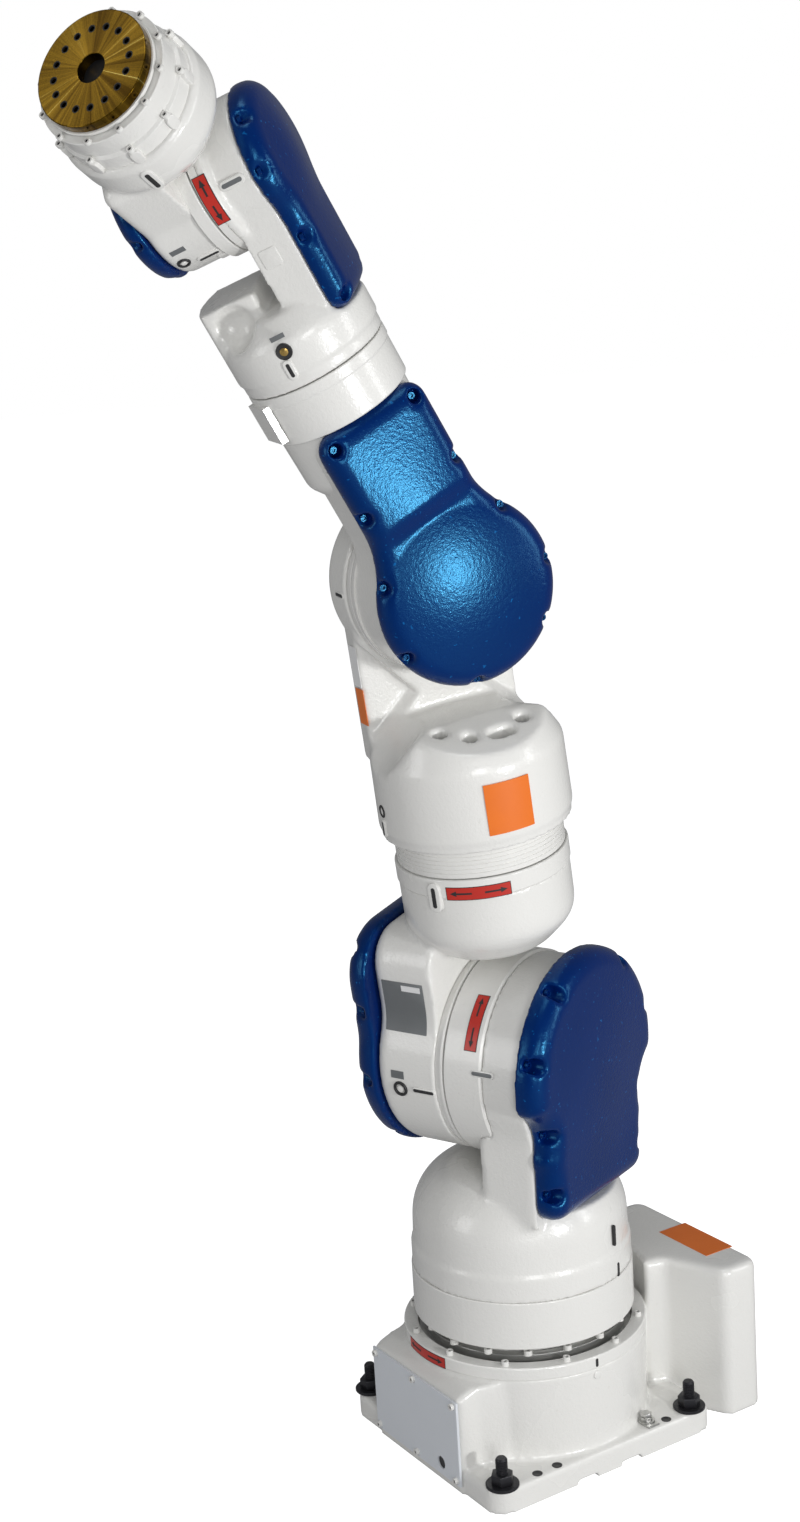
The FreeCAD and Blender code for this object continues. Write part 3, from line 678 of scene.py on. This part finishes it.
def cover_screws():
    """Screws at the bottom of the covers' pockets."""
    groups = (("shoulder_cover_screws", "swivel", 82.5, 1.0,
               mirrored(((62, 499), (103, 440), (82, 362), (79, 300)))),
              ("lower_arm_cover_screws", "lower_arm", -102.5, -1.0,
               mirrored(((76, 130), (93, 72), (100, 0), (71, -70))) + [(0, -100)]),
              ("forearm_cover_screws", "forearm", 53.5, 1.0,
               [(-43, 183), (43, 183), (-50, 116), (50, 116), (-67, 52), (67, 52), (-81, -16), (81, -16),
                (-51, -65), (34, -75)]),
              ("wrist_roll_cover_screws", "wrist_roll", 58.0, 1.0,
               mirrored(((38, 460), (57, 420), (44, 354), (36, 294)))),
              ("wrist_bend_cover_screws", "wrist_bend", -65.0, -1.0,
               [(53 * math.cos(a), 53 * math.sin(a)) for a in [math.radians(30 + 60 * k) for k in range(6)]]))
    for name, link, level, outward, spots in groups:
        places = [seat_matrix(Vector((0, outward, 0)), Vector((0, 0, 1)), Vector((x, level, z)))
                  for x, z in spots]
        screws(name, link, places, 3.4, 3.0, BLUE, socket=False)


# ---------------------------------------------------------------- base details
def circle_places(count, first, radius, level):
    """Upright places of count screws on a circle."""
    angles = [math.radians(first + 360 * k / count) for k in range(count)]
    return [Matrix.Translation((radius * math.cos(a), radius * math.sin(a), level)) for a in angles]


def base_screws():
    screws("bearing_ring_screws", "base", circle_places(12, 14.5, 117.5, 124), 3.8, 4.6)
    screws("inner_ring_screws", "base", circle_places(16, 10.9, 103, 127.8), 4.4, 5.0)
    front = [outward_x(PANEL_FACE, y, z) for y in (-70, 0, 70) for z in (14, 94)]
    screws("front_panel_screws", "base", front, 3.6, 3.2)
    bm = bmesh.new()
    # Painted shade: a dark disc sunk in the front panel's hole.
    add_prism(bm, outward_x(PANEL_FACE - 2.3, 44, 22), 28, 6.3, 0.8)
    new_piece("front_panel_hole_shade", bm, "base", DARK)
    rear = [seat_matrix(Vector((-1, 0, 0)), Vector((0, 0, 1)), Vector((REAR_FACE, y, z)))
            for y in (-46, 28, 102) for z in (36, 140)]
    screws("connector_panel_screws", "base", rear, 3.2, 2.6, ZINC)


def anchors():
    """Black washer, nut and threaded stud at each corner of the foot."""
    washer = [(6.5, 0), (16.2, 0), (16.6, 0.6), (16.6, 2.6), (16.0, 3.2), (6.5, 3.2)]
    washer_top, nut_top = 3.2, 13.7
    stud = stud_profile(6.0, 16.0, 1.75)
    bm = bmesh.new()
    for sx in BOTH_SIDES:
        for sy in BOTH_SIDES:
            here = Matrix.Translation((2 + sx * 118, sy * 120, FOOT_TOP))
            add_turned(bm, here, washer, steps=36)
            add_prism(bm, here @ Matrix.Translation((0, 0, washer_top)), 6, 11.4, nut_top - washer_top,
                      bevel=1.0, turn=11 * sx + 7 * sy)
            add_turned(bm, here @ Matrix.Translation((0, 0, nut_top)), stud, steps=24)
    new_piece("anchor_fixings", bm, "base", OXIDE, sharp=30.0)


def stud_profile(radius, length, pitch):
    """Half section of a threaded stud: rings of thread under a chamfered tip."""
    points = [(radius, 0.0)]
    level = 0.0
    while level + pitch < length - 1.5:
        points += [(radius, level + pitch * 0.3), (radius - 0.8, level + pitch * 0.65),
                   (radius, level + pitch)]
        level += pitch
    return points + [(radius - 1.4, length), (0.0, length)]


def foot_details():
    holes = [Matrix.Translation((x, y, FOOT_TOP))
             for x, y in ((81, 124), (57, 124), (-82, 124), (57, -124), (-82, -124))]
    # Painted shade: flat dark discs on the foot where its tapped holes are.
    turning("foot_hole_shade", "base", holes, [(5.2, 0.0), (5.2, 0.25), (3.6, 0.3), (3.2, 0.06), (0, 0.05)],
            DARK)
    bm = bmesh.new()
    add_prism(bm, Matrix.Translation((-63, 116, 32)), 6, 5.6, 4.0, bevel=0.6, turn=12)
    add_turned(bm, Matrix.Translation((-63, 116, 27)), [(3, 0), (8.4, 0), (8.6, 0.4), (8.6, 1.4), (3, 1.6)])
    new_piece("ground_screw", bm, "base", ZINC, sharp=30.0)


def base_labels():
    turn_label("turn_label_base", "base", round_z(0.0, 117.0, RING_WALL), 62, 10)
    lid = seat_matrix(Vector((0, 0, 1)), Vector((1, 0, 0)), Vector((-192, 48, 162)))
    strip("rear_box_patch", "base", flat_wall(lid), 76, 36, ORANGE, fine=80)
    lozenge("bearing_ring_slit", "base", spot_z(88.6, 117, RING_WALL - 0.4), 9, 3.2, 0.7, edge=0.3)
    turning("bearing_ring_plug", "base", [spot_z(88.6, 104, RING_WALL - 0.6)],
            [(0, 2.0), (3.2, 1.9), (4.4, 1.4), (4.8, 0.0)], CREAM, steps=20)


# ---------------------------------------------------------------- link details
def slot_mark(name, link, place, length, width, boss=3.0, rise=1.6, tone=None):
    """Dark viewing slot in a raised enamelled surround."""
    lozenge(name + "_surround", link, place @ Matrix.Translation((0, 0, -3.0)), length + 2 * boss,
            width + 2 * boss, 3.0 + rise, CREAM, edge=1.0)
    lozenge(name, link, place, length, width, rise + 0.25, tone)


def swivel_details():
    for name, angle, level, length in (("swivel_slot_upper", 88.5, 232, 22),
                                       ("swivel_slot_lower", 91.0, 193.5, 15)):
        lozenge(name, "swivel", spot_z(angle, level, SWIVEL_WALL), length, 3.4, 2.4)
    turn_label("turn_label_shoulder", "swivel", round_y(33.5, 17.0, 105.0, SHOULDER_UP), 56, 12.5)
    slot_mark("shoulder_slot", "swivel", spot_y(6.7, 32, 102.9, SHOULDER_UP), 23, 4.0, boss=1.4, rise=2.4,
              tone=PLATE)


def lower_arm_details():
    turn_label("turn_label_arm_roll", "lower_arm", round_z(29.0, 209.5, RIM_WALL), 62, 12)
    slot_mark("rim_slot", "lower_arm", spot_z(-0.5, 205, RIM_WALL), 21, 4.6, boss=4.5, rise=3.0)
    name_plate()
    strip("name_plate_sticker", "lower_arm", flat_wall(outward_x(84.9, -49, 100)), 22, 6, STICKER,
          "panel_enamel", thick=0.25)
    strip("lower_arm_tag", "lower_arm", round_y(7.0, -68, LOWER_DRUM), 8, 15, PLATE)
    grease_port("lower_arm_grease_port", "lower_arm", spot_y(-1.2, -66, LOWER_DRUM))
    slot_mark("lower_arm_slot", "lower_arm", spot_y(-0.3, -38, LOWER_DRUM), 24, 3.6, boss=1.6, rise=1.4)


def name_plate():
    """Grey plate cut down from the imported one, with nothing written on it."""
    bm = bmesh.new()
    bm.from_mesh(frame["nodes"]["lower_arm_name_plate"].data)
    bmesh.ops.remove_doubles(bm, verts=bm.verts, dist=WELD)
    bmesh.ops.transform(bm, matrix=to_link("lower_arm"), verts=bm.verts)
    for level, side in ((54.0, -1), (106.0, 1)):
        bmesh.ops.bisect_plane(bm, geom=bm.verts[:] + bm.edges[:] + bm.faces[:], plane_co=(0, 0, level),
                               plane_no=(0, 0, side), clear_outer=True)
        bmesh.ops.holes_fill(bm, edges=[e for e in bm.edges if e.is_boundary], sides=0)
    piece = new_piece("name_plate_cut", bm, "lower_arm", PLATE)
    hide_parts("lower_arm_name_plate")


def grease_port(name, link, place, size=1.0):
    """Plugged port: a dark ring with a hollow, and an enamelled plug in it."""
    ring = [(8.0, -2.0), (8.0, 1.0), (7.4, 1.8), (5.6, 1.8), (5.2, 1.2), (5.2, -1.0), (0, -1.0)]
    plug = [(0, 1.6), (1.5, 1.6), (3.3, 1.3), (3.8, 0.6), (3.8, -1.2)]
    turning(name, link, [place], [(r * size, z * size) for r, z in ring], DARK, steps=28)
    turning(name + "_plug", link, [place], [(r * size, z * size) for r, z in plug], CREAM,
            steps=20)


def elbow_details():
    strip("collar_patch", "elbow", round_z(86.5, 293, COLLAR_WALL + 0.4), 46, 50, ORANGE)
    grease_port("collar_grease_port", "elbow", spot_z(-2.4, 285, COLLAR_WALL - 0.8), 0.8)
    slot_mark("collar_slot", "elbow", spot_z(-2.0, 268, COLLAR_WALL), 14, 3.4, boss=2.0)
    strip("post_label", "elbow", flat_wall(outward_x(82.0, -46, 418, lean=0.05)), 16, 40, STICKER,
          "panel_enamel", fine=20)
    strip("post_patch", "elbow", flat_wall(outward_x(82.2, -44, 378, lean=0.05)), 16, 36, ORANGE, fine=20)
    slot_mark("elbow_slot", "elbow", spot_y(1.5, -36, 89.0, ELBOW_UP), 16, 3.4, boss=1.2, rise=1.0)


GROOVES = 6


def groove_ring():
    """Turned ring under the elbow collar with shallow grooves round it."""
    low, high, inner, radius = 223.9, 252.0, 60.0, 82.7
    land, depth = 1.5, 0.7
    pitch = (high - low - 2 * land) / GROOVES
    profile = [(inner, low), (radius, low), (radius, low + land)]
    for k in range(GROOVES):
        z = low + land + k * pitch
        profile += [(radius, z + pitch * 0.7), (radius - depth, z + pitch * 0.78),
                    (radius - depth, z + pitch * 0.92), (radius, z + pitch)]
    profile += [(radius, high), (inner, high)]
    bm = bmesh.new()
    add_turned(bm, Matrix(), profile, steps=128)
    piece = new_piece("elbow_groove_ring_turned", bm, "elbow", CREAM, sharp=25.0)
    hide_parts("elbow_groove_ring")


def wrist_details():
    turn_label("turn_label_wrist", "wrist_roll", round_y(-2.0, 12.0, 65.0, WRIST_UP), 43, 11)
    slot_mark("wrist_roll_slot", "wrist_roll", spot_y(2.0, 34, 57.5, WRIST_UP), 19, 4.0, boss=2.4, rise=1.8,
              tone=PLATE)
    bm = bmesh.new()
    add_pad(bm, outward_x(43.2, 26, 350), 17, 1.8)
    new_piece("wrist_roll_pad", bm, "wrist_roll", CREAM)
    strip("wrist_collar_tag", "wrist_roll", round_z(3.8, 293, WRIST_COLLAR_WALL), 13, 4.2, PLATE)
    port = [spot_z(3.2, 279.5, WRIST_COLLAR_WALL)]
    # Painted shade: a dark disc for the port's hole, round the brass plug.
    turning("wrist_collar_port", "wrist_roll", port,
            [(7.4, -2), (7.4, 0.5), (6.8, 0.9), (6.2, 0.6), (0, 0.5)], DARK)
    turning("wrist_collar_port_plug", "wrist_roll", port, [(0, 1.5), (2.4, 1.4), (3.6, 0.9), (3.6, -1.4)],
            BRASS, steps=18)
    slot_mark("wrist_collar_slot", "wrist_roll", spot_z(0.7, 263, WRIST_COLLAR_WALL), 13, 3.4, rise=2.0)
    slot_mark("wrist_bell_slot", "wrist_bend", spot_z(0.0, 112, 64.6), 20, 4.0, boss=3.2, rise=2.6)
    strip("wrist_bend_tag", "wrist_bend", round_y(10.7, -40, BEND_DRUM), 5, 14, PLATE)
    grease_port("wrist_bend_port", "wrist_bend", spot_y(-4.6, -44, BEND_DRUM), 0.75)
    slot_mark("wrist_bend_slot", "wrist_bend", spot_y(-9.5, -22, BEND_DRUM), 19, 3.2, boss=2.0)
    bm = bmesh.new()
    add_pad(bm, spot_y(-23, -13, BEND_DRUM - 1.5), 12, 3.4)
    new_piece("wrist_bend_lug", bm, "wrist_bend", CREAM)


def tool_details():
    bm = bmesh.new()
    add_prism(bm, Matrix.Translation((0, 0, 168.0)), 40, 20.2, 1.0)
    new_piece("flange_bore_shadow", bm, "tool", DARK)
    # Painted shade: dark linings down the flange's holes, with a dark lip round each mouth.
    turning("flange_hole_shade", "tool", circle_places(16, 11.25, 35.0, FLANGE_UP),
            [(2.5, -1.5), (2.5, 0.02), (3.4, 0.05), (3.4, -0.4), (2.5, -1.5)], DARK,
            steps=18)
    screws("tool_ring_screws", "wrist_bend", circle_places(12, 8, 55.8, 166.3), 3.2, 3.4)
    screws("bell_ring_screws", "wrist_bend", circle_places(10, 4, 61.0, 146.3), 3.2, 3.6)
    lugs = bmesh.new()
    for k in range(10):
        add_lozenge(lugs, spot_z(4 + 36 * k, 138.6, 59.0), 15, 9.0, 4.6, edge=0.8)
    new_piece("bell_ring_lugs", lugs, "wrist_bend", CREAM)


# ---------------------------------------------------------------- studio
CAMERA_PLACE = (1.1448, 1.6436, 1.1319)
CAMERA_RIGHT = (-0.83829, 0.54195, -0.05972)
CAMERA_UP = (-0.16065, -0.14084, 0.97691)
CAMERA_LENS = 49.37


def camera():
    data = bpy.data.cameras.new("camera")
    data.lens = CAMERA_LENS
    data.sensor_width = 36.0
    obj = bpy.data.objects.new("camera", data)
    right = Vector(CAMERA_RIGHT).normalized()
    up = Vector(CAMERA_UP).normalized()
    back = right.cross(up).normalized()
    up = back.cross(right)
    m = Matrix((right, up, back)).transposed().to_4x4()
    m.translation = Vector(CAMERA_PLACE)
    obj.matrix_world = m
    bpy.context.scene.collection.objects.link(obj)
    bpy.context.scene.camera = obj


def soft_light(name, place, target, size, power):
    data = bpy.data.lights.new(name, "AREA")
    data.shape = "RECTANGLE"
    data.size, data.size_y = size
    data.energy = power
    obj = bpy.data.objects.new(name, data)
    obj.location = place
    aim = Vector(target) - Vector(place)
    obj.rotation_euler = aim.to_track_quat("-Z", "Y").to_euler()
    bpy.context.scene.collection.objects.link(obj)


def studio():
    """Frontal key, weak fills and two small glints; a dim world lights the part, a white one shows."""
    middle = (0.1, 0.0, 0.7)
    soft_light("key", (1.3, 3.0, 1.1), middle, (0.9, 1.3), 27)
    soft_light("side", (-1.8, 2.2, 1.3), middle, (0.5, 1.6), 14)
    soft_light("front", (3.2, -0.4, 1.2), middle, (0.9, 1.6), 15)
    soft_light("top", (0.6, 0.6, 3.4), middle, (1.0, 1.0), 10)
    soft_light("glint", (-0.21, 2.04, 0.62), (0.10, 0.09, 0.93), (0.18, 0.18), 18)
    soft_light("flange_glint", (1.37, -0.36, 2.41), (0.42, 0.11, 1.34), (0.10, 0.8), 0.42)
    world = bpy.data.worlds.new("studio")
    world.use_nodes = True
    tree = world.node_tree
    dim = tree.nodes["Background"]
    dim.inputs["Color"].default_value = (0.97, 0.98, 1.0, 1)
    dim.inputs["Strength"].default_value = 0.22
    bright = tree.nodes.new("ShaderNodeBackground")
    bright.inputs["Color"].default_value = (1, 1, 1, 1)
    seen = tree.nodes.new("ShaderNodeLightPath")
    mix = tree.nodes.new("ShaderNodeMixShader")
    tree.links.new(seen.outputs["Is Camera Ray"], mix.inputs["Fac"])
    tree.links.new(dim.outputs["Background"], mix.inputs[1])
    tree.links.new(bright.outputs["Background"], mix.inputs[2])
    tree.links.new(mix.outputs["Shader"], tree.nodes["World Output"].inputs["Surface"])
    bpy.context.scene.world = world
    bpy.context.scene.view_settings.view_transform = "Standard"
    bpy.context.scene.view_settings.look = "None"


def floor():
    bm = bmesh.new()
    bmesh.ops.create_grid(bm, x_segments=1, y_segments=1, size=30.0)
    mesh = bpy.data.meshes.new("floor")
    bm.to_mesh(mesh)
    bm.free()
    mesh.transform(Matrix.Translation((0, 0, -0.0005)))
    obj = bpy.data.objects.new("floor", mesh)
    obj.data.materials.append(FLOOR)
    bpy.context.scene.collection.objects.link(obj)


paint_cad()
castings()
covers()
cover_screws()
base_screws()
anchors()
foot_details()
base_labels()
swivel_details()
lower_arm_details()
elbow_details()
groove_ring()
wrist_details()
tool_details()
camera()
studio()
floor()
